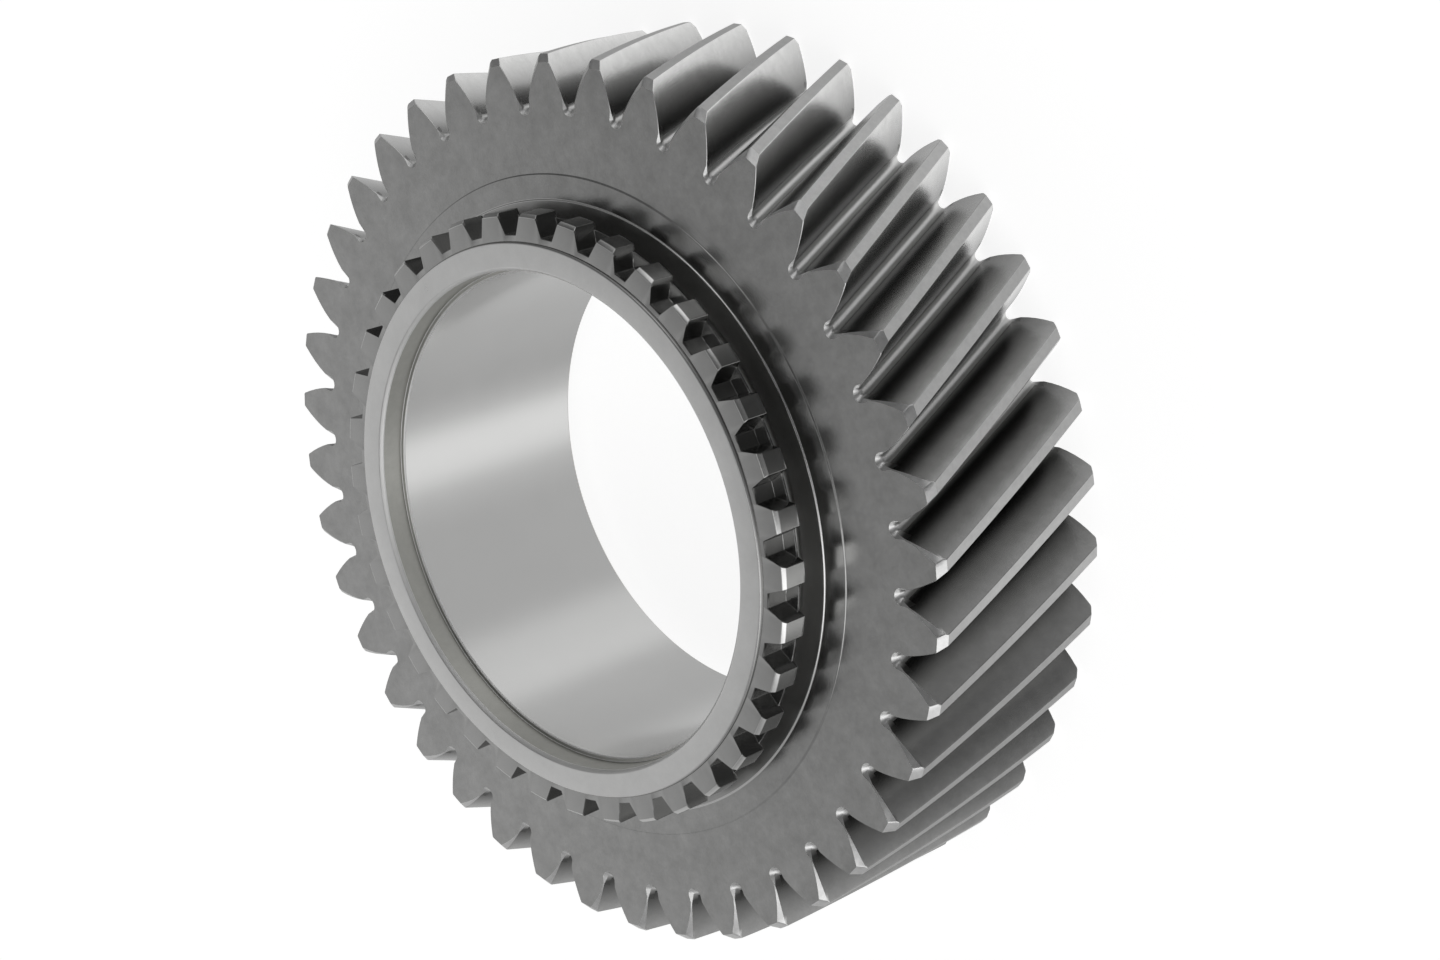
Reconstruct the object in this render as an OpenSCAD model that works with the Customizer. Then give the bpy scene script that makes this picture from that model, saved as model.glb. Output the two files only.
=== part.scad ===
// Helical transmission gear with an integral dog ring, one solid of case-hardened steel.
// The axis is +Z, the rear face lies on z = 0 and the dog ring is on the upper, front side.

/* [Helical teeth] */
// Number of helical teeth
teeth = 40; // [38:1:44]
// Module, measured square to the teeth
normal_module = 3.5; // [3.25:0.25:4]
// Helix angle at the pitch circle (the teeth are left-hand)
helix_angle = 22; // [10:1:28]
// Pressure angle, measured square to the teeth
pressure_angle = 22.5; // [20:0.5:24]
// Profile shift coefficient, which thickens the teeth
profile_shift = 0.26; // [0.1:0.02:0.3]
// Height of a tooth above the pitch circle
addendum = 4.75; // [4:0.25:5]
// Depth of a tooth space below the pitch circle
dedendum = 5; // [4:0.25:5.5]
// Width of the toothed rim, from the rear face to the front face
face_width = 41.7; // [32:0.1:50]
// Chamfer on the tooth tips and round the bottom of the tooth spaces, at both ends
end_chamfer = 1.3; // [0.8:0.1:1.6]
// Chamfer along the foot of the tooth flanks, at both ends
foot_chamfer = 0.15; // [0.1:0.05:0.3]
// Chamfer along the top of the flank that leans over the front face, at the front end
front_lead_chamfer = 0.8; // [0.2:0.05:1]
// Chamfer along the top of the other flank, at the front end
front_trail_chamfer = 0.3; // [0.2:0.05:1]
// Chamfer along the top of both flanks, at the rear end
rear_flank_chamfer = 0.45; // [0.2:0.05:1]

/* [Bore] */
// Diameter of the main bore, the track of a needle cage
bore_d = 88; // [84:0.5:91]
// Radial step from the main bore out to the counterbore at the front end
counterbore_step = 0.8; // [0.5:0.1:1.5]
// Depth of the counterbore at the front end
counterbore_depth = 4.8; // [3:0.2:7]
// Chamfer at the mouth of the counterbore
mouth_chamfer = 0.6; // [0.3:0.1:1]
// Chamfer at each end of the main bore
bore_chamfer = 0.3; // [0.2:0.1:0.4]

/* [Hub] */
// Diameter of the hub
hub_d = 99.8; // [97:0.2:104]
// Height of the ground hub face above the front face of the rim
hub_height = 9.8; // [8:0.2:14]
// Chamfer on the outer edge of the hub face
hub_chamfer = 0.3; // [0.2:0.1:0.6]

/* [Dog ring] */
// Number of dog teeth
dog_teeth = 36; // [30:1:40]
// Step from the hub face down to the front of the dog teeth
dog_step = 0.5; // [0.2:0.1:1]
// Length of the dog teeth along the axis
dog_length = 5; // [3.5:0.25:6]
// Rise from the hub to the floor of the gaps between the dog teeth
dog_floor_rise = 1.1; // [0.8:0.1:2]
// Height of the dog teeth above the floor of their gaps
dog_tooth_height = 3.8; // [3:0.1:4.5]
// Width of a dog tooth at its tip
dog_tip_width = 3.7; // [3:0.1:4.2]
// Width of a dog tooth at its foot
dog_foot_width = 6.2; // [5:0.1:6.8]
// Chamfer on the front outer edge of the dog teeth
dog_chamfer = 0.6; // [0.3:0.1:1]
// Thickness of the wall that closes each gap at the rear
gap_wall = 0.5; // [0.4:0.1:1]
// Drop from the tip of the dog teeth to the top of that wall
gap_wall_drop = 1.2; // [0.5:0.1:2.5]
// Angle from a helical tooth to the nearest dog tooth, at the front face
dog_phase = 0.5; // [0:0.1:4.5]

/* [Web] */
// Radial clearance from the dog teeth out to the edge of the raised seat under them
seat_clearance = 0.7; // [0.6:0.1:2]
// Height of the raised seat above the band round it
seat_rise = 0.25; // [0.2:0.05:1]
// Radius where the raised seat meets the hub
seat_fillet = 1; // [0.5:0.25:1.5]
// Width of the turned band round the raised seat
band_width = 4.4; // [3:0.1:5]
// Height of the turned band above the web
band_rise = 0.25; // [0.2:0.05:0.6]
// Width of the rim's seat on the rear face, inside the tooth spaces
rear_rim = 6.5; // [5:0.5:10]
// Depth of the rear recess, from the rim's seat to the rear face of the hub
rear_recess_depth = 4.5; // [2:0.25:7]
// Draft of the wall of the rear recess, in degrees
rear_draft = 12; // [5:1:30]
// Radius at the bottom of that wall
rear_fillet = 2; // [1:0.25:2]

/* [Hidden] */
$fn = 96;
steel = "#85878A";

// Values that follow from the tooth system
degree = 180 / PI;
tooth_pitch = 360 / teeth;
pitch_r = teeth * normal_module / (2 * cos(helix_angle));
transverse_pressure = atan(tan(pressure_angle) / cos(helix_angle));
base_r = pitch_r * cos(transverse_pressure);
tip_r = pitch_r + addendum;
root_r = pitch_r - dedendum;
tooth_half = (PI / 2 + 2 * profile_shift * tan(pressure_angle)) / teeth * degree;
turn_per_mm = -tan(helix_angle) / pitch_r * degree;

// Steps of a tooth space: half its round bottom, one flank, and the length of the rim
bottom_steps = 2;
flank_steps = 4;
length_steps = 4;
half_points = bottom_steps + flank_steps;
pitch_points = 2 * half_points + 1;

// Radii and heights of the turned forms
bore_r = bore_d / 2;
counterbore_r = bore_r + counterbore_step;
hub_r = hub_d / 2;
hub_top = face_width + hub_height;
dog_floor_r = hub_r + dog_floor_rise;
dog_tip_r = dog_floor_r + dog_tooth_height;
dog_top = hub_top - dog_step;
dog_bottom = dog_top - dog_length;
dog_pitch = 360 / dog_teeth;
seat_r = dog_tip_r + seat_clearance;
band_r = seat_r + band_width;
rear_outer_r = root_r - rear_rim;

// How far a cutting shape runs past the face that it cuts
over = 1;

function polar(r, a) = [r * cos(a), r * sin(a)];
function mirrored(p) = [p[0], -p[1]];
function turned(p, a) = [p[0] * cos(a) - p[1] * sin(a), p[0] * sin(a) + p[1] * cos(a)];
function with_depth(p, depth) = [p[0], p[1], depth];
function involute(a) = tan(a) * degree - a;

// Angle from the middle of a tooth space to its flank, at radius r.
// An involute moved square to itself by cut is the same involute turned by cut / base_r.
function space_angle(r, cut) =
    tooth_pitch / 2 - tooth_half - involute(transverse_pressure)
    + involute(acos(base_r / max(r, base_r))) + cut / base_r * degree;
function flank_point(r, cut) = polar(r, space_angle(r, cut));

// The round bottom of a space is an arc about a point on the space's middle line,
// tangent to the flank where the flank has radius r.
function flank_slope(r, cut) =
    let (d = flank_point(r + 0.01, cut) - flank_point(r, cut)) d / norm(d);
function arc_radius(r, cut) = flank_point(r, cut)[1] / flank_slope(r, cut)[0];
function arc_centre(r, cut) =
    flank_point(r, cut)[0] + arc_radius(r, cut) * flank_slope(r, cut)[1];

// Radius at which the flank passes into an arc whose lowest point has radius bottom_r
function arc_start(bottom_r, cut, low, high, rounds = 24) =
    let (middle = (low + high) / 2)
    rounds == 0 ? middle
    : arc_centre(middle, cut) - arc_radius(middle, cut) > bottom_r
        ? arc_start(bottom_r, cut, low, middle, rounds - 1)
        : arc_start(bottom_r, cut, middle, high, rounds - 1);

// The flank chamfer at radius r, which grows from foot_chamfer to top_chamfer at the tip.
// With no top_chamfer there is none.
function chamfer_at(r, top_chamfer) =
    top_chamfer == 0 ? 0
    : foot_chamfer + (top_chamfer - foot_chamfer) * pow(max(0, (r - root_r) / (tip_r - root_r)), 2);

// Half a tooth space, from its lowest point out to the tooth tip, each point with its depth
// under the end face. It lies on the end face, cut back by the chamfers, or just below the
// flank chamfer.
function half_space(top_chamfer, on_face) =
    let (
        chamfered = top_chamfer > 0,
        foot_cut = chamfered && on_face ? foot_chamfer : 0,
        bottom_r = root_r - (!chamfered ? 0 : on_face ? end_chamfer : end_chamfer - foot_chamfer),
        outer_r = tip_r - (!chamfered ? 0 : on_face ? end_chamfer : end_chamfer - top_chamfer),
        start_r = arc_start(bottom_r, foot_cut, bottom_r, pitch_r),
        radius = arc_radius(start_r, foot_cut),
        centre = arc_centre(start_r, foot_cut),
        start = flank_point(start_r, foot_cut),
        start_angle = atan2(start[1], start[0] - centre),
        flat = concat(
            [for (i = [0:bottom_steps])
                [centre, 0] + polar(radius, 180 + (start_angle - 180) * i / bottom_steps)],
            [for (i = [1:flank_steps])
                let (r = start_r + (outer_r - start_r) * i / flank_steps)
                flank_point(r, on_face ? chamfer_at(r, top_chamfer) : 0)]
        )
    )
    [for (p = flat) with_depth(p, on_face ? 0 : chamfer_at(norm(p), top_chamfer))];

// One pitch of the outline: from the lowest point of a space up one flank, across the tip and
// down the far flank of the same tooth
function one_pitch(lead_chamfer, trail_chamfer, on_face) =
    let (near = half_space(trail_chamfer, on_face), far = half_space(lead_chamfer, on_face))
    concat(
        near,
        [for (i = [half_points:-1:1]) with_depth(turned(mirrored(far[i]), tooth_pitch), far[i][2])]
    );

// A whole outline at height z, with a tooth at angle 0 on the front face.
// Its depths run away from the end face: inward is 1 at the rear end and -1 at the front.
function outline(z, lead_chamfer, trail_chamfer, on_face, inward) =
    let (points = one_pitch(lead_chamfer, trail_chamfer, on_face))
    [for (k = [0:teeth - 1], p = points)
        let (height = z + p[2] * inward)
        with_depth(turned(p, (k + 0.5) * tooth_pitch + (height - face_width) * turn_per_mm), height)];

body_length = face_width - 2 * end_chamfer;
layers = concat(
    [for (on_face = [true, false])
        outline(0, rear_flank_chamfer, rear_flank_chamfer, on_face, 1)],
    [for (i = [0:length_steps])
        outline(end_chamfer + body_length * i / length_steps, 0, 0, false, 1)],
    [for (on_face = [false, true])
        outline(face_width, front_lead_chamfer, front_trail_chamfer, on_face, -1)]
);

// Solid disc with the helical teeth on its rim
module toothed_disc() {
    count = teeth * pitch_points;
    last = len(layers) - 1;
    points = [for (layer = layers) each layer];
    sides = [for (l = [0:last - 1], i = [0:count - 1])
        let (a = l * count + i, b = l * count + (i + 1) % count, c = b + count, d = a + count)
        each [[a, d, c], [a, c, b]]];
    // Each tooth end is a row of quadrilaterals across the tooth
    tooth_ends = [for (k = [0:teeth - 1], j = [0:half_points - 1])
        let (first = k * pitch_points)
        [first + j, first + j + 1, first + pitch_points - 1 - j,
         (first + pitch_points - j) % count]];
    middle = [for (k = [0:teeth - 1]) k * pitch_points];
    rear = concat(tooth_ends, [middle]);
    front = [for (face = rear) [for (i = [len(face) - 1:-1:0]) face[i] + last * count]];
    polyhedron(points, concat(sides, rear, front), convexity = 10);
}

// Hub, with its ground face standing proud of the dog ring
module hub() {
    rotate_extrude()
        polygon([
            [0, rear_recess_depth + over], [hub_r, rear_recess_depth + over],
            [hub_r, hub_top - hub_chamfer], [hub_r - hub_chamfer, hub_top], [0, hub_top]
        ]);
}

// Gap between two dog teeth: narrow at its floor and wider towards the tips
module dog_gap() {
    gap_floor = dog_pitch - 2 * asin(dog_foot_width / 2 / dog_floor_r);
    gap_mouth = dog_pitch - 2 * asin(dog_tip_width / 2 / dog_tip_r);
    floor_corner = polar(dog_floor_r, gap_floor / 2);
    mouth_corner = polar(dog_tip_r, gap_mouth / 2);
    slope = (mouth_corner - floor_corner) / dog_tooth_height;
    outer_corner = mouth_corner + slope * over;
    wall_corner = mouth_corner - slope * gap_wall_drop;
    translate([0, 0, dog_bottom + gap_wall])
        linear_extrude(dog_length)
            polygon([mirrored(floor_corner), mirrored(outer_corner), outer_corner, floor_corner]);
    translate([0, 0, dog_bottom - over])
        linear_extrude(dog_length)
            polygon([mirrored(wall_corner), mirrored(outer_corner), outer_corner, wall_corner]);
}

// Dog ring: a flange on the hub with gaps cut in from the front
module dog_ring() {
    difference() {
        rotate_extrude()
            polygon([
                [0, dog_bottom], [dog_tip_r, dog_bottom],
                [dog_tip_r, dog_top - dog_chamfer], [dog_tip_r - dog_chamfer, dog_top],
                [0, dog_top]
            ]);
        for (k = [0:dog_teeth - 1])
            rotate(dog_phase + (k + 0.5) * dog_pitch) dog_gap();
    }
}

// Two low steps on the web: the turned band, and on it the seat under the dog ring
module web_steps() {
    band_z = face_width + band_rise;
    seat_z = band_z + seat_rise;
    fillet_centre = [hub_r + seat_fillet, seat_z + seat_fillet];
    rotate_extrude()
        polygon(concat(
            [
                [0, seat_z + seat_fillet], [0, face_width - over], [band_r, face_width - over],
                [band_r, face_width], [band_r - band_rise, band_z],
                [seat_r, band_z], [seat_r - seat_rise, seat_z]
            ],
            [for (a = [270:-15:180]) fillet_centre + polar(seat_fillet, a)]
        ));
}

// Rear recess: from the bore out to the rim's seat, with a drafted wall
module rear_recess() {
    slope = [-sin(rear_draft), cos(rear_draft)];
    mouth = [rear_outer_r, 0] - slope * over;
    corner_rise = rear_recess_depth - rear_fillet * (1 - sin(rear_draft));
    fillet_end = [rear_outer_r - corner_rise * tan(rear_draft), corner_rise];
    fillet_centre = fillet_end - rear_fillet * [cos(rear_draft), sin(rear_draft)];
    rotate_extrude()
        polygon(concat(
            [[0, -over], mouth],
            [for (i = [0:4])
                fillet_centre + polar(rear_fillet, rear_draft + (90 - rear_draft) * i / 4)],
            [[0, rear_recess_depth]]
        ));
}

// Main bore, with a counterbore at the front
module bore() {
    rear_z = rear_recess_depth;
    step_z = hub_top - counterbore_depth;
    rotate_extrude()
        polygon([
            [0, rear_z - over], [bore_r + bore_chamfer + over, rear_z - over],
            [bore_r, rear_z + bore_chamfer], [bore_r, step_z - bore_chamfer],
            [bore_r + bore_chamfer, step_z], [counterbore_r, step_z],
            [counterbore_r, hub_top - mouth_chamfer],
            [counterbore_r + mouth_chamfer + over, hub_top + over], [0, hub_top + over]
        ]);
}

module helical_gear() {
    color(steel)
        difference() {
            union() {
                difference() {
                    toothed_disc();
                    rear_recess();
                }
                web_steps();
                hub();
                dog_ring();
            }
            bore();
        }
}

helical_gear();
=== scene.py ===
from math import acos, atan, atan2, cos, hypot, pi, radians, sin, tan

import bmesh
import bpy
from mathutils import Matrix, Vector


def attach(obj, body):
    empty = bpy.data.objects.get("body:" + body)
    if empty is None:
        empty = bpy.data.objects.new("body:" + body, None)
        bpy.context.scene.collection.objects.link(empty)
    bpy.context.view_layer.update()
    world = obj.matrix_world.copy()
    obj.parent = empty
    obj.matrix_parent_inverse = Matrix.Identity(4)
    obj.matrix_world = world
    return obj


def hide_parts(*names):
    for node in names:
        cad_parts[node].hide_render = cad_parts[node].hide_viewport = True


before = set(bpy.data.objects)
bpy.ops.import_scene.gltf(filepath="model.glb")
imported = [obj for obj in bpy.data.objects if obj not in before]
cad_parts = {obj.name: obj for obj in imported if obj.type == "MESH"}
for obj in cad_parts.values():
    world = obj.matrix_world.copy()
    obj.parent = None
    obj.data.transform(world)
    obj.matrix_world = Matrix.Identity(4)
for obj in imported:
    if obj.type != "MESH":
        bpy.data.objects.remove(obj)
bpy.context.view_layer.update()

# Gear blank
# A forged ring of case-hardening steel, turned all over on a lathe: the web with its two low
# steps, the neck and the hub, the bore with a counterbore at the front, and the rear recess
# that reaches from the bore to the rim. The bore and the hub face are ground after hardening.
# Sizes are in millimetres, and heights are above the rear face.
MM = 0.001
face_z = 41.7
hub_z = 51.5
bore_r = 44.0
bore_chamfer = 0.3
counterbore_r = 44.8
counterbore_depth = 4.8
mouth_chamfer = 0.6
hub_r = 49.9
hub_chamfer = 0.3
seat_r = 55.5
band_r = 59.9
step_rise = 0.25
step_edge = 0.1
rear_z = 4.5
turned_flat = 0.12
# The neck's fillet, out and up from the corner, and the recess's wall with the fillet at its foot
neck_fillet = [(1.0, 0), (0.5, 0.13), (0.13, 0.5), (0, 1.0)]
recess_wall = [
    (64.0, 0), (63.38, 2.92), (63.13, 3.55), (62.68, 4.05), (62.09, 4.39), (61.42, rear_z)]
# The teeth join on at this radius, where each of the 40 has 22 points
join_r = 67.0
around = 40 * 22

bpy.ops.object.select_all(action="DESELECT")
bpy.ops.mesh.primitive_cylinder_add(
    vertices=around, radius=join_r * MM, depth=face_z * MM, location=(0, 0, face_z * MM / 2))
gear_body = bpy.context.object
gear_body.name = "gear_body"
bpy.ops.object.transform_apply(location=True, rotation=False, scale=False)


def select_faces(piece, wanted):
    """In edit mode, selects just the faces of the piece that the test picks."""
    bpy.ops.mesh.select_mode(type="FACE")
    bpy.ops.mesh.select_all(action="DESELECT")
    shape = bmesh.from_edit_mesh(piece.data)
    for face in shape.faces:
        face.select_set(wanted(face))
    bmesh.update_edit_mesh(piece.data)


def turn_end(up, radius, height, steps):
    """Turns one end of the blank, step by step, to each radius and height in turn."""
    select_faces(gear_body, lambda face: len(face.verts) == around and face.normal.z * up > 0.5)
    for to_radius, to_height in steps:
        rise = (to_height - height) * up * MM
        if to_radius == radius:
            bpy.ops.mesh.extrude_region_move(TRANSFORM_OT_translate={"value": (0, 0, rise * up)})
        else:
            bpy.ops.mesh.inset(thickness=(radius - to_radius) * MM, depth=rise)
        radius, height = to_radius, to_height


bpy.ops.object.mode_set(mode="EDIT")
band_z = face_z + step_rise
seat_z = band_z + step_rise
counterbore_z = hub_z - counterbore_depth
turn_end(1, join_r, face_z, [
    (band_r, face_z), (band_r - step_edge, band_z), (seat_r, band_z), (seat_r - step_edge, seat_z),
    *[(hub_r + out, seat_z + rise) for out, rise in neck_fillet],
    (hub_r, hub_z - hub_chamfer), (hub_r - hub_chamfer, hub_z),
    (counterbore_r + mouth_chamfer, hub_z), (counterbore_r, hub_z - mouth_chamfer),
    (counterbore_r, counterbore_z), (bore_r + bore_chamfer, counterbore_z),
    (bore_r, counterbore_z - bore_chamfer),
])
turn_end(-1, join_r, 0, [
    *recess_wall,
    (bore_r + bore_chamfer, rear_z), (bore_r, rear_z + bore_chamfer),
])
# The bore is opened between the two innermost faces, and the side is left open for the teeth
select_faces(gear_body, lambda face: len(face.verts) == around)
bpy.ops.mesh.bridge_edge_loops()
select_faces(gear_body, lambda face: hypot(*face.calc_center_median().xy) > (join_r - 0.1) * MM)
bpy.ops.mesh.delete(type="FACE")
bpy.ops.object.mode_set(mode="OBJECT")


def pick(piece):
    """Makes a piece the active one, and the only one selected."""
    bpy.ops.object.select_all(action="DESELECT")
    piece.select_set(True)
    bpy.context.view_layer.objects.active = piece


def soften_edges(piece, width):
    """Gives a piece's sharp edges the small flats that tumbling leaves, shaded as round."""
    pick(piece)
    flats = piece.modifiers.new("softened_edges", "BEVEL")
    flats.width = width * MM
    flats.segments = 1
    flats.limit_method = "ANGLE"
    flats.angle_limit = radians(30)
    bpy.ops.object.modifier_apply(modifier=flats.name)
    bpy.ops.object.shade_smooth_by_angle(angle=radians(50))


def level_shading(piece):
    """Lets the large faces set the shading at each corner, so that flat faces look flat."""
    weights = piece.modifiers.new("level_shading", "WEIGHTED_NORMAL")
    weights.keep_sharp = True
    bpy.ops.object.modifier_apply(modifier=weights.name)


soften_edges(gear_body, turned_flat)

# Helical teeth
# Forty left-hand involute teeth, hobbed into the rim of the same forging, hardened and shot
# peened. Their tips are the turned outside, and a deburring tool has chamfered both ends.
teeth = 40
normal_module = 3.5
helix_angle = radians(22)
normal_pressure = radians(22.5)
profile_shift = 0.26
addendum = 4.75
dedendum = 4.5
fillet_top_r = 72.4
tip_edge = 0.2
# The end chamfers: of the tips and roots, of the flanks at their foot, over the height that the
# foot's reaches, at the least, and what each of a tooth's two flanks adds to that at its tip
end_chamfer = 1.3
root_chamfer = 1.0
foot_chamfer = 0.6
foot_reach = 2.2
least_chamfer = 0.06
front_chamfers = (0.08, 0.95)
rear_chamfers = (0.4, 0.4)
no_chamfers = (None, None)
# How many steps each part of the outline and the length of a tooth are made in
arc_steps = 4
flank_steps = 5
length_steps = 17

pitch_r = teeth * normal_module / (2 * cos(helix_angle))
pressure = atan(tan(normal_pressure) / cos(helix_angle))
base_r = pitch_r * cos(pressure)
tip_r = pitch_r + addendum
root_r = pitch_r - dedendum
tooth_half = (pi / 2 + 2 * profile_shift * tan(normal_pressure)) / teeth
turn_per_mm = -tan(helix_angle) / pitch_r
pitch_angle = 2 * pi / teeth


def involute(angle):
    return tan(angle) - angle


def flank_point(r, cut):
    """A point of the flank, seen from the middle of the tooth space, moved back by the cut."""
    angle = (pitch_angle / 2 - tooth_half - involute(pressure)
             + involute(acos(min(1, base_r / r))) + cut / base_r)
    return Vector((r * cos(angle), r * sin(angle)))


def bottom_arc(r, cut):
    """Centre and radius of the round bottom that meets the flank smoothly at radius r."""
    point = flank_point(r, cut)
    slope = (flank_point(r + 0.01, cut) - point).normalized()
    radius = point.y / slope.x
    return point.x + radius * slope.y, radius


def chamfer_at(r, at_tip):
    """The flank chamfer at radius r: round at the foot, almost nothing above, wide at the tip."""
    foot = max(0, 1 - max(0, r - root_r) / foot_reach)
    rise = max(0, (r - root_r) / (tip_r - root_r))
    return least_chamfer + foot_chamfer * foot ** 2 + at_tip * rise ** 2


def half_space(chamfer, below):
    """Half the outline of a tooth space, from its lowest point out to the tooth's tip.

    It is cut back by a chamfer, or lies just below that chamfer, and gives each point with its
    depth under the end face. With no chamfer it is the plain outline, at no depth.
    """
    lowest = root_r - (root_chamfer - foot_chamfer * below if chamfer else 0)
    outer_r = tip_r - (end_chamfer - chamfer * below if chamfer else 0)
    cut = (lambda r: 0) if below else (lambda r: chamfer_at(r, chamfer))
    # The bottom's arc begins where it just touches the lowest radius, found by halving
    low, high = max(lowest, base_r), pitch_r
    for _ in range(30):
        start_r = (low + high) / 2
        centre, radius = bottom_arc(start_r, cut(start_r))
        if centre - radius > lowest:
            high = start_r
        else:
            low = start_r
    start = flank_point(start_r, cut(start_r))
    start_angle = atan2(start.y, start.x - centre)
    points = []
    for i in range(arc_steps + 1):
        angle = pi + (start_angle - pi) * i / arc_steps
        points.append(Vector((centre + radius * cos(angle), radius * sin(angle))))
    for i in range(1, flank_steps + 1):
        r = start_r + (outer_r - tip_edge - start_r) * i / flank_steps
        points.append(flank_point(r, cut(r)))
    tip_angle = atan2(points[-1].y, points[-1].x) + tip_edge / outer_r
    points.append(Vector((outer_r * cos(tip_angle), outer_r * sin(tip_angle))))
    depths = [chamfer_at(p.length, chamfer) if chamfer and below else 0 for p in points]
    return [(p, depth) for p, depth in zip(points, depths)]


def tooth_ring(z, chamfers, below, inward):
    """The whole toothed outline at height z, with a tooth on +X where z is the front face.

    chamfers holds that of each of a tooth's two flanks, and inward is the sign of the way from
    the end face into the gear.
    """
    near, far = [half_space(chamfer, below) for chamfer in chamfers]
    next_space = Matrix.Rotation(pitch_angle, 2)
    far = [(next_space @ Vector((p.x, -p.y)), depth) for p, depth in reversed(far[1:])]
    middle = pitch_angle / 2
    tip_radius = (near[-1][0].length + far[0][0].length) / 2
    tip_depth = (near[-1][1] + far[0][1]) / 2
    tip = (Vector((tip_radius * cos(middle), tip_radius * sin(middle))), tip_depth)
    ring = []
    for k in range(teeth):
        for p, depth in near + [tip] + far:
            height = z + depth * inward
            turn = Matrix.Rotation((k + 0.5) * pitch_angle + (height - face_z) * turn_per_mm, 2)
            x, y = turn @ p
            ring.append((x * MM, y * MM, height * MM))
    return ring


def round_ring(r, z, turn):
    """A plain circle with as many points as the toothed outline."""
    angles = [turn + pitch_angle / 2 + i * 2 * pi / around for i in range(around)]
    return [(r * cos(a) * MM, r * sin(a) * MM, z * MM) for a in angles]


def skin_rings(name, rings):
    """A mesh object whose faces join each ring to the next."""
    count = len(rings[0])
    faces = []
    for k in range(len(rings) - 1):
        for i in range(count):
            j = (i + 1) % count
            faces.append((k * count + i, (k + 1) * count + i, (k + 1) * count + j, k * count + j))
    mesh = bpy.data.meshes.new(name)
    mesh.from_pydata([p for ring in rings for p in ring], [], faces)
    piece = bpy.data.objects.new(name, mesh)
    bpy.context.collection.objects.link(piece)
    return piece


def close_skin(tolerance):
    """Merges the active piece's doubled points, and turns all its faces outward."""
    bpy.ops.object.mode_set(mode="EDIT")
    bpy.ops.mesh.select_all(action="SELECT")
    bpy.ops.mesh.remove_doubles(threshold=tolerance * MM)
    bpy.ops.mesh.normals_make_consistent(inside=False)
    bpy.ops.object.mode_set(mode="OBJECT")


# At the rear the plain circle is turned on by whole points, to follow the helix
rear_turn = round(-face_z * turn_per_mm / (2 * pi / around)) * 2 * pi / around
rings = [round_ring(join_r, face_z, 0),
         tooth_ring(face_z, front_chamfers, 0, -1), tooth_ring(face_z, front_chamfers, 1, -1)]
for i in range(length_steps + 1):
    depth = end_chamfer + (face_z - 2 * end_chamfer) * i / length_steps
    rings.append(tooth_ring(face_z - depth, no_chamfers, 1, -1))
rings += [tooth_ring(0, rear_chamfers, 1, 1), tooth_ring(0, rear_chamfers, 0, 1),
          round_ring(join_r, 0, rear_turn)]
rim = skin_rings("toothed_rim", rings)
pick(rim)
bpy.ops.object.shade_smooth_by_angle(angle=radians(30))

# The rim is joined to the blank along the open circle, which makes one closed skin
gear_body.select_set(True)
bpy.context.view_layer.objects.active = gear_body
bpy.ops.object.join()
close_skin(0.01)
level_shading(gear_body)


# Finishes
# All of it is one bare steel. The web is turned and peened to a clouded satin grey, the hub face
# and the bore are ground, paler and finely lined round the axis, and the counterbore is mottled.
# The flanks darken towards the root, which is painted shade of the tooth spaces, and are lighter
# towards the tip. The deburred edges are bright, and brighter still from painted highlight.
def hex_linear(code):
    """An sRGB colour such as #85878a as the linear values that a shader takes."""
    parts = [int(code[i:i + 2], 16) / 255 for i in (1, 3, 5)]
    return [c / 12.92 if c <= 0.04045 else ((c + 0.055) / 1.055) ** 2.4 for c in parts] + [1]


def add_node(tree, kind, settings, **inputs):
    """Adds one node with its settings, and each input as a value or as the socket that feeds it."""
    node = tree.nodes.new(kind)
    for name, value in settings.items():
        setattr(node, name, value)
    for name, value in inputs.items():
        by_number = name.startswith("in")
        socket = node.inputs[int(name[2:]) if by_number else name.replace("_", " ")]
        if isinstance(value, bpy.types.NodeSocket):
            tree.links.new(value, socket)
        else:
            socket.default_value = value
    return node


# The colour of the painted shade in the tooth spaces, low on the flanks and atop the root fillets
root_shade_colour = "#5e5e5d"


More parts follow.
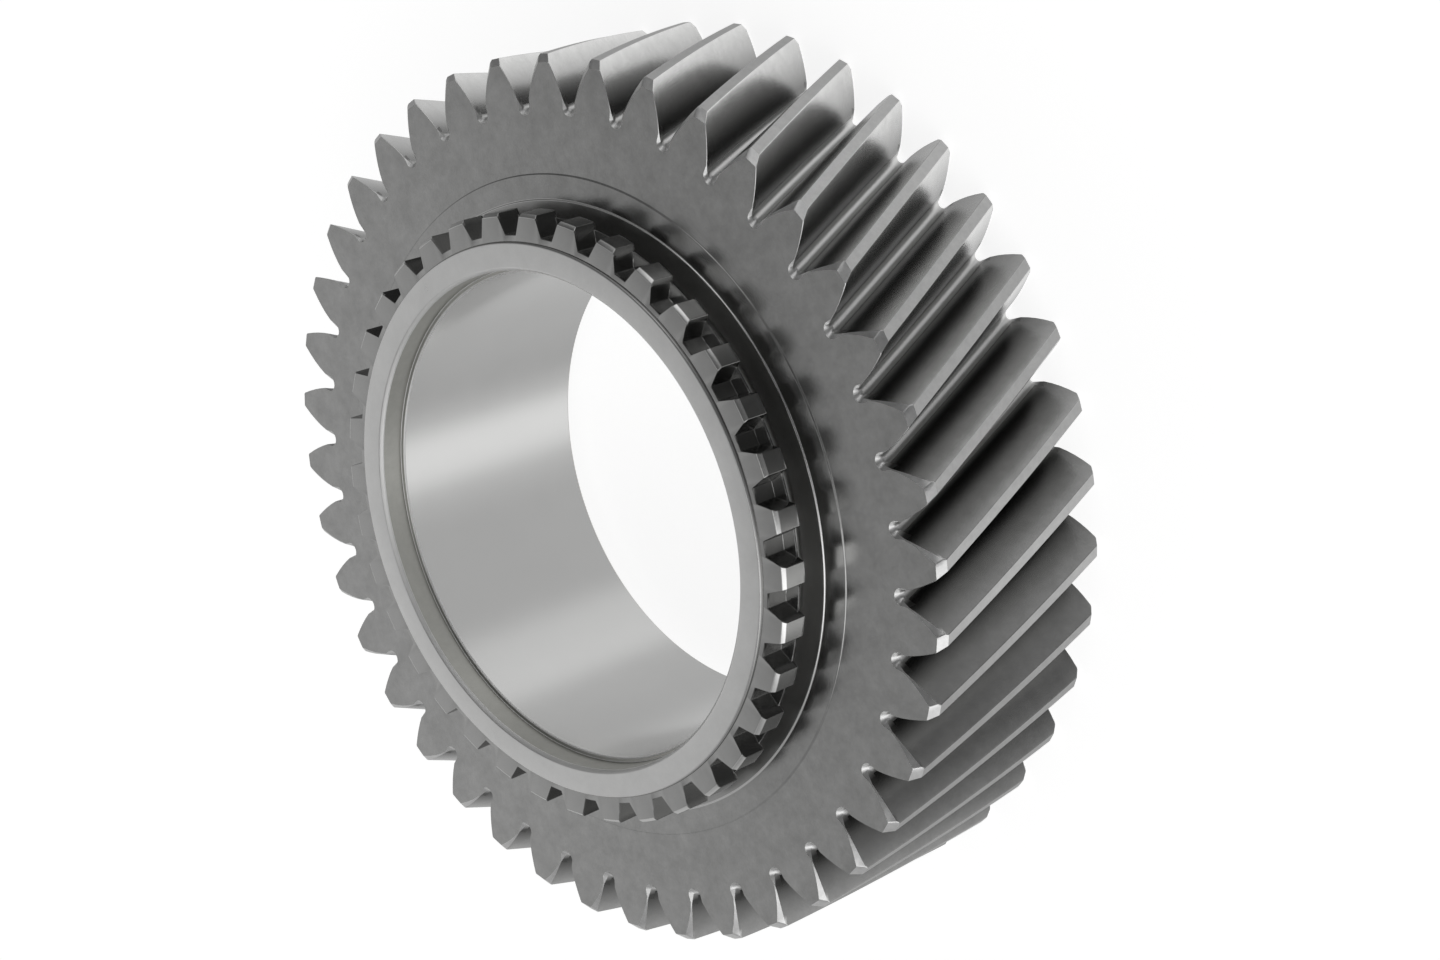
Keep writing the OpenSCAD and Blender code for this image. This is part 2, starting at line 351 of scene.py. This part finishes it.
def steel(name, light, dark, patch_mm, roughness, grain_mm, grain_height_mm, lay, shade_radii=None):
    """Bare steel: cloudy between two colours, with a grain that is even or drawn out by the tool.

    lay is how the tool went: "even" for a peened surface, "round" for lines round the axis.
    shade_radii: two radii if it has painted shade, full at the first and gone at the second.
    """
    material = bpy.data.materials.new(name)
    material.use_nodes = True
    tree = material.node_tree
    shader = tree.nodes["Principled BSDF"]
    shader.inputs["Metallic"].default_value = 1
    place = add_node(tree, "ShaderNodeTexCoord", {}).outputs["Object"]
    patches = add_node(
        tree, "ShaderNodeTexNoise", {},
        Vector=place, Scale=1 / (patch_mm * MM), Detail=6, Roughness=0.75)
    colour = add_node(
        tree, "ShaderNodeMix", {"data_type": "RGBA"},
        Factor=patches.outputs["Fac"], in6=hex_linear(dark), in7=hex_linear(light))
    axes = add_node(tree, "ShaderNodeSeparateXYZ", {}, Vector=place)
    flat = add_node(tree, "ShaderNodeCombineXYZ", {}, X=axes.outputs["X"], Y=axes.outputs["Y"])
    radius = add_node(tree, "ShaderNodeVectorMath", {"operation": "LENGTH"}, in0=flat.outputs[0])
    # Painted shade: the colour goes to the shade colour between the two radii
    if shade_radii:
        shade_fade = add_node(
            tree, "ShaderNodeMapRange", {}, Value=radius.outputs["Value"],
            From_Min=shade_radii[0] * MM, From_Max=shade_radii[1] * MM)
        colour = add_node(
            tree, "ShaderNodeMix", {"data_type": "RGBA"},
            Factor=shade_fade.outputs[0], in6=hex_linear(root_shade_colour), in7=colour.outputs[2])
    tree.links.new(colour.outputs[2], shader.inputs["Base Color"])
    if lay == "round":
        reach = add_node(
            tree, "ShaderNodeMath", {"operation": "ADD"},
            in0=radius.outputs["Value"], in1=axes.outputs["Z"])
        across = {"W": reach.outputs[0]}
    else:
        across = {"Vector": place}
    grain = add_node(
        tree, "ShaderNodeTexNoise", {"noise_dimensions": "1D" if lay == "round" else "3D"},
        Scale=1 / (grain_mm * MM), Detail=3, **across)
    bump = add_node(
        tree, "ShaderNodeBump", {},
        Height=grain.outputs["Fac"], Distance=grain_height_mm * MM, Strength=1)
    tree.links.new(bump.outputs["Normal"], shader.inputs["Normal"])
    gloss = add_node(
        tree, "ShaderNodeMapRange", {}, Value=patches.outputs["Fac"],
        To_Min=roughness * 0.9, To_Max=roughness * 1.15)
    tree.links.new(gloss.outputs[0], shader.inputs["Roughness"])
    return material


# Each has its lighter and darker colour, the size of the clouds, the roughness, the size and
# height of the grain, its lay, and where it has painted shade the two radii of that
finishes = [
    steel("peened_web_steel", "#c6c6c5", "#8e8e8d", 4, 0.2, 0.35, 0.008, "even"),
    steel("ground_hub_steel", "#f4f4f3", "#d6d6d5", 6, 0.28, 0.25, 0.002, "round"),
    steel("honed_bore_steel", "#dededd", "#d6d6d5", 15, 0.2, 0.3, 0.001, "round"),
    steel("turned_counterbore_steel", "#c6c6c1", "#a8a8a3", 2, 0.38, 0.3, 0.006, "round"),
    # The flanks carry painted shade near the root, full at 72.8 mm and gone at 80.6 mm
    steel("ground_flank_steel", "#dededd", "#acacab", 3, 0.25, 0.35, 0.014, "even", (72.8, 80.6)),
    steel("turned_tip_steel", "#d0d0cf", "#a6a6a6", 1.5, 0.38, 0.3, 0.012, "even"),
    # The deburred edges are pale from the tool, and paler still as painted highlight
    steel("deburred_edge_highlight_steel", "#ececeb", "#dadad9", 3, 0.22, 0.4, 0.003, "even"),
    steel("shaped_dog_steel", "#b8b8b7", "#a8a8a7", 3, 0.18, 0.3, 0.001, "even"),
    # The end chamfers are paler than the flanks, up to white, partly as painted highlight
    steel("brushed_chamfer_highlight_steel", "#ffffff", "#cacac9", 1, 0.34, 0.3, 0.014, "even"),
    # The neck, the seat and the dog ring's underside are paler than the web: painted light in the
    # groove
    steel("turned_neck_steel", "#bebebd", "#b2b2b1", 6, 0.3, 0.3, 0.001, "round"),
    # The root fillets carry painted shade at their top, full at 72.4 mm and gone at 71.2 mm
    steel("root_fillet_steel", "#d8d8d7", "#c4c4c3", 3, 0.4, 0.35, 0.008, "even", (72.4, 71.2)),
    # The dog teeth's outer lands are lighter than their front faces: painted light
    steel("dog_land_steel", "#cececd", "#c2c2c1", 3, 0.18, 0.3, 0.001, "even"),
    # The dog gaps' sides and floors are darker than the dog's other faces: painted shade between
    # the teeth
    steel("dog_gap_steel", "#8a8a89", "#7c7c7b", 2, 0.22, 0.3, 0.001, "even"),
    # The mouth chamfers are near white and rough: a painted highlight that keeps a light line round
    # them
    steel("mouth_chamfer_highlight_steel", "#fafaf9", "#f0f0ef", 4, 0.55, 0.3, 0.002, "round"),
]
(WEB, HUB, BORE, COUNTERBORE, FLANK, TIP, EDGE, DOG, CHAMFER, NECK, ROOT, LIT_LAND, GAP_SHADE,
 MOUTH) = range(len(finishes))
# A face counts as flat, or as facing outward, when its normal points so far that way
flat_from = 0.95
outward_from = 0.9


def face_place(face):
    """A face's height and radius in millimetres, and how far it faces away from the axis."""
    place = face.center / MM
    r = hypot(place.x, place.y)
    return place.z, r, (face.normal.x * place.x + face.normal.y * place.y) / r


def body_finish(face):
    """The finish of a face of the gear body. The small numbers are margins round the sizes."""
    z, r, outward = face_place(face)
    up = face.normal.z
    if r > root_r - root_chamfer - 0.1 and abs(up) < flat_from:
        # The end chamfers take the near-white chamfer finish, partly painted highlight
        if abs(up) > 0.5 and min(z, face_z - z) < end_chamfer:
            return CHAMFER
        if r > tip_r - 0.3 and outward > outward_from:
            return TIP
        # Both the root fillets and the flanks carry painted shade where they meet
        return ROOT if r < fillet_top_r else FLANK
    if r < bore_r + 0.2 and abs(up) < 0.3:
        return BORE
    # The mouth chamfers take the near-white finish, which is painted highlight
    if r < hub_r - 1 and 0.3 < up < 0.9:
        return MOUTH
    if r < counterbore_r + 0.1:
        return COUNTERBORE
    if z > hub_z - 0.2 and r < hub_r - 0.2:
        return HUB
    # The seat, the fillet and the neck take the paler neck finish, painted light in the groove
    if r < seat_r - 0.2 and z > band_z:
        return NECK
    # The steps' small edges take the bright edge finish, partly painted highlight
    if 0.2 < up < flat_from and r < seat_r + 0.1:
        return EDGE
    return WEB


def finish_faces(piece, finish_of):
    """Gives a piece all the finishes, and each of its faces the one that suits it."""
    for finish in finishes:
        piece.data.materials.append(finish)
    for face in piece.data.polygons:
        face.material_index = finish_of(face)


finish_faces(gear_body, body_finish)
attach(gear_body, "root")
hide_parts("helical_gear")

# Dog ring
# Thirty-six small dog teeth cut into a flange of the hub, for the sliding sleeve. The cutter
# stops short of the flange's rear, so a thin wall closes each gap there.
dog_teeth = 36
dog_front = hub_z - 0.5
dog_rear = dog_front - 5.0
dog_floor_r = 51.0
dog_tip_r = 54.8
dog_tip_half = 1.85
dog_foot_half = 3.1
dog_chamfer = 0.6
dog_flat = 0.1
dog_phase = radians(0.5)
wall_thickness = 0.5
wall_r = 53.6
buried_r = hub_r - 0.6
cell_points = 8
dog_pitch = 2 * pi / dog_teeth


def dog_ring_outline(z, floor_r, tip_cut):
    """The dog ring's outline, with its gaps as deep as floor_r, at height z."""
    def flank(r):
        part = (r - dog_floor_r) / (dog_tip_r - dog_floor_r)
        return (dog_foot_half + (dog_tip_half - dog_foot_half) * part) / r
    top_r = dog_tip_r - tip_cut
    if floor_r > dog_floor_r:
        foot = (floor_r, (dog_pitch / 2 + flank(floor_r)) / 2)
    else:
        foot = (floor_r, flank(floor_r))
    side = [foot, (wall_r, flank(wall_r)), (top_r, flank(top_r))]
    cell = [(floor_r, -dog_pitch / 2)] + [(r, -a) for r, a in side] + [(top_r, 0)] + side[::-1]
    ring = []
    for k in range(dog_teeth):
        for r, a in cell:
            angle = dog_phase + k * dog_pitch + a
            ring.append((r * cos(angle) * MM, r * sin(angle) * MM, z * MM))
    return ring


def buried_ring(z):
    """The dog ring's inner edge, just inside the hub, with as many points as its outline."""
    turns = [(i - cell_points / 2) / cell_points for i in range(dog_teeth * cell_points)]
    angles = [dog_phase + turn * dog_pitch for turn in turns]
    return [(buried_r * cos(a) * MM, buried_r * sin(a) * MM, z * MM) for a in angles]


dog_ring = skin_rings("dog_ring", [
    buried_ring(dog_rear),
    dog_ring_outline(dog_rear, wall_r, 0),
    dog_ring_outline(dog_rear + wall_thickness, wall_r, 0),
    dog_ring_outline(dog_rear + wall_thickness, dog_floor_r, 0),
    dog_ring_outline(dog_front - dog_chamfer, dog_floor_r, 0),
    dog_ring_outline(dog_front, dog_floor_r, dog_chamfer),
    buried_ring(dog_front),
    buried_ring(dog_rear),
])
pick(dog_ring)
close_skin(0.001)


def dog_finish(face):
    """The finish of a face of the dog ring."""
    _, r, outward = face_place(face)
    up = face.normal.z
    # The dog ring's underside takes the paler neck finish, painted light in the groove
    if up < -0.5:
        return NECK
    # The dog teeth's front chamfers take the bright edge finish, partly painted highlight
    if up > 0.3:
        return EDGE if up < flat_from else DOG
    # The gaps' sides and floors take a darker finish, which is painted shade
    # The outer lands take a lighter finish, which is painted light
    return LIT_LAND if outward > outward_from and r > wall_r + 0.3 else GAP_SHADE


finish_faces(dog_ring, dog_finish)
soften_edges(dog_ring, dog_flat)
level_shading(dog_ring)
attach(dog_ring, "root")
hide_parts("helical_gear")

# Studio
# The gear lies on a matt white table, 8 m across, between two tall soft boxes, one on each side
# of the camera. The room behind the camera is dark, which gives the bare steel its contrast.
table_r = 4
table_glow = 0.86
bpy.ops.mesh.primitive_circle_add(
    vertices=96, radius=table_r, fill_type="NGON", location=(0, 0, 0))
floor = bpy.context.object
floor.name = "table"
floor.visible_glossy = False
table_top = bpy.data.materials.new("matt_white_table")
table_top.use_nodes = True
tree = table_top.node_tree
tree.nodes.clear()
matt = add_node(tree, "ShaderNodeBsdfDiffuse", {}, Color=hex_linear("#b0b0b0"))
glow = add_node(tree, "ShaderNodeEmission", {}, Color=(1, 1, 1, 1), Strength=table_glow)
ray = add_node(tree, "ShaderNodeLightPath", {})
both = add_node(tree, "ShaderNodeAddShader", {}, in0=matt.outputs[0], in1=glow.outputs[0])
shown = add_node(
    tree, "ShaderNodeMixShader", {},
    in0=ray.outputs["Is Camera Ray"], in1=matt.outputs[0], in2=both.outputs[0])
add_node(tree, "ShaderNodeOutputMaterial", {}, Surface=shown.outputs[0])
floor.data.materials.append(table_top)

world = bpy.data.worlds.new("studio_room")
bpy.context.scene.world = world
world.use_nodes = True
tree = world.node_tree
tree.nodes.clear()
toward = add_node(tree, "ShaderNodeTexCoord", {}).outputs["Generated"]
height = add_node(tree, "ShaderNodeSeparateXYZ", {}, Vector=toward).outputs["Z"]
compass = add_node(tree, "ShaderNodeTexGradient", {"gradient_type": "RADIAL"}, Vector=toward)


def light_round(levels):
    """Brightness all round the room, from a level at each compass angle in degrees."""
    ramp = add_node(tree, "ShaderNodeValToRGB", {}, Fac=compass.outputs["Fac"])
    stops = ramp.color_ramp.elements
    ramp.color_ramp.interpolation = "EASE"
    while len(stops) < len(levels):
        stops.new(0.5)
    for stop, (angle, level) in zip(stops, levels):
        stop.position = angle / 360 + 0.5
        stop.color = (level, level, level, 1)
    return ramp.outputs["Color"]


def blend_by_height(low, high, below, above):
    """Passes softly from one brightness to another between two heights of the view direction."""
    part = add_node(
        tree, "ShaderNodeMapRange", {"interpolation_type": "SMOOTHSTEP"},
        Value=height, From_Min=low, From_Max=high)
    return add_node(
        tree, "ShaderNodeMix", {"data_type": "RGBA"},
        Factor=part.outputs[0], in6=below, in7=above).outputs[2]


# The soft boxes are the bright parts near -60 and 55 degrees, and the camera is at -7 degrees
low_walls = light_round([
    (-180, 0.65), (-145, 0.6), (-115, 0.55), (-85, 0.5), (-75, 0.6), (-61, 1), (-50, 0.98),
    (-35, 0.6), (-22, 0.53), (24, 0.53), (42, 0.75), (63, 0.8), (78, 0.57), (110, 0.53),
    (150, 0.65), (180, 0.65)])
middle_walls = light_round([
    (-180, 0.55), (-110, 0.5), (-50, 0.5), (-30, 0.42), (-15, 0.28), (15, 0.16), (40, 0.28),
    (60, 0.3), (80, 0.5), (92, 0.4), (105, 0.18), (118, 0.1), (130, 0.2), (150, 0.4), (180, 0.55)])
high_walls = light_round([
    (-180, 0.62), (-150, 0.43), (-120, 0.25), (-103, 0.3), (-88, 0.55), (-72, 1.4), (-52, 1.4),
    (-32, 0.4), (-12, 0.13), (12, 0.13), (30, 0.3), (45, 0.95), (60, 0.9), (75, 0.15), (95, 0.06),
    (115, 0.1), (133, 0.3), (155, 0.57), (180, 0.65)])
ceiling = light_round([
    (-180, 0.37), (-88, 0.2), (-72, 1.3), (-52, 1.3), (-32, 0.2), (-12, 0.1), (30, 0.08),
    (45, 0.08), (60, 0.08), (78, 0.08), (133, 0.2), (180, 0.37)])
table_level = (1.2, 1.2, 1.2, 1)
lower = blend_by_height(-0.55, -0.15, low_walls, middle_walls)
upper = blend_by_height(0, 0.45, lower, high_walls)
room = blend_by_height(0.59, 0.72, upper, ceiling)
all_round = blend_by_height(-0.92, -0.7, table_level, room)
sky = add_node(tree, "ShaderNodeBackground", {}, Color=all_round, Strength=1)
white = add_node(tree, "ShaderNodeBackground", {}, Color=(1, 1, 1, 1), Strength=1)
ray = add_node(tree, "ShaderNodeLightPath", {})
shown = add_node(
    tree, "ShaderNodeMixShader", {},
    in0=ray.outputs["Is Camera Ray"], in1=sky.outputs[0], in2=white.outputs[0])
add_node(tree, "ShaderNodeOutputWorld", {}, Surface=shown.outputs[0])

# Camera
# It looks at the gear as in the photograph, well round from its face and tilted on its side,
# with a long lens of about 73 mm. Its directions and place were fitted to the photograph in a
# frame on the front face, which is turned from the gear's own by the angle below.
camera_data = bpy.data.cameras.new("camera")
camera_data.lens = 72.6
camera_data.sensor_width = 36
camera_data.clip_start = 0.01
camera = bpy.data.objects.new("camera", camera_data)
bpy.context.collection.objects.link(camera)
turn_of_tooth = Matrix.Rotation(radians(-30.346), 3, "Z")
right = turn_of_tooth @ Vector((0.72511, -0.04994, -0.68683))
down = turn_of_tooth @ Vector((0.16799, -0.95441, 0.24674))
forward = turn_of_tooth @ Vector((-0.66784, -0.29428, -0.68365))
place = turn_of_tooth @ Vector((357.1, 154.4, 332.4 + face_z)) * MM
axes = Matrix((right, -down, -forward)).transposed().to_4x4()
camera.matrix_world = Matrix.Translation(place) @ axes
bpy.context.scene.camera = camera
bpy.context.scene.view_settings.view_transform = "Standard"
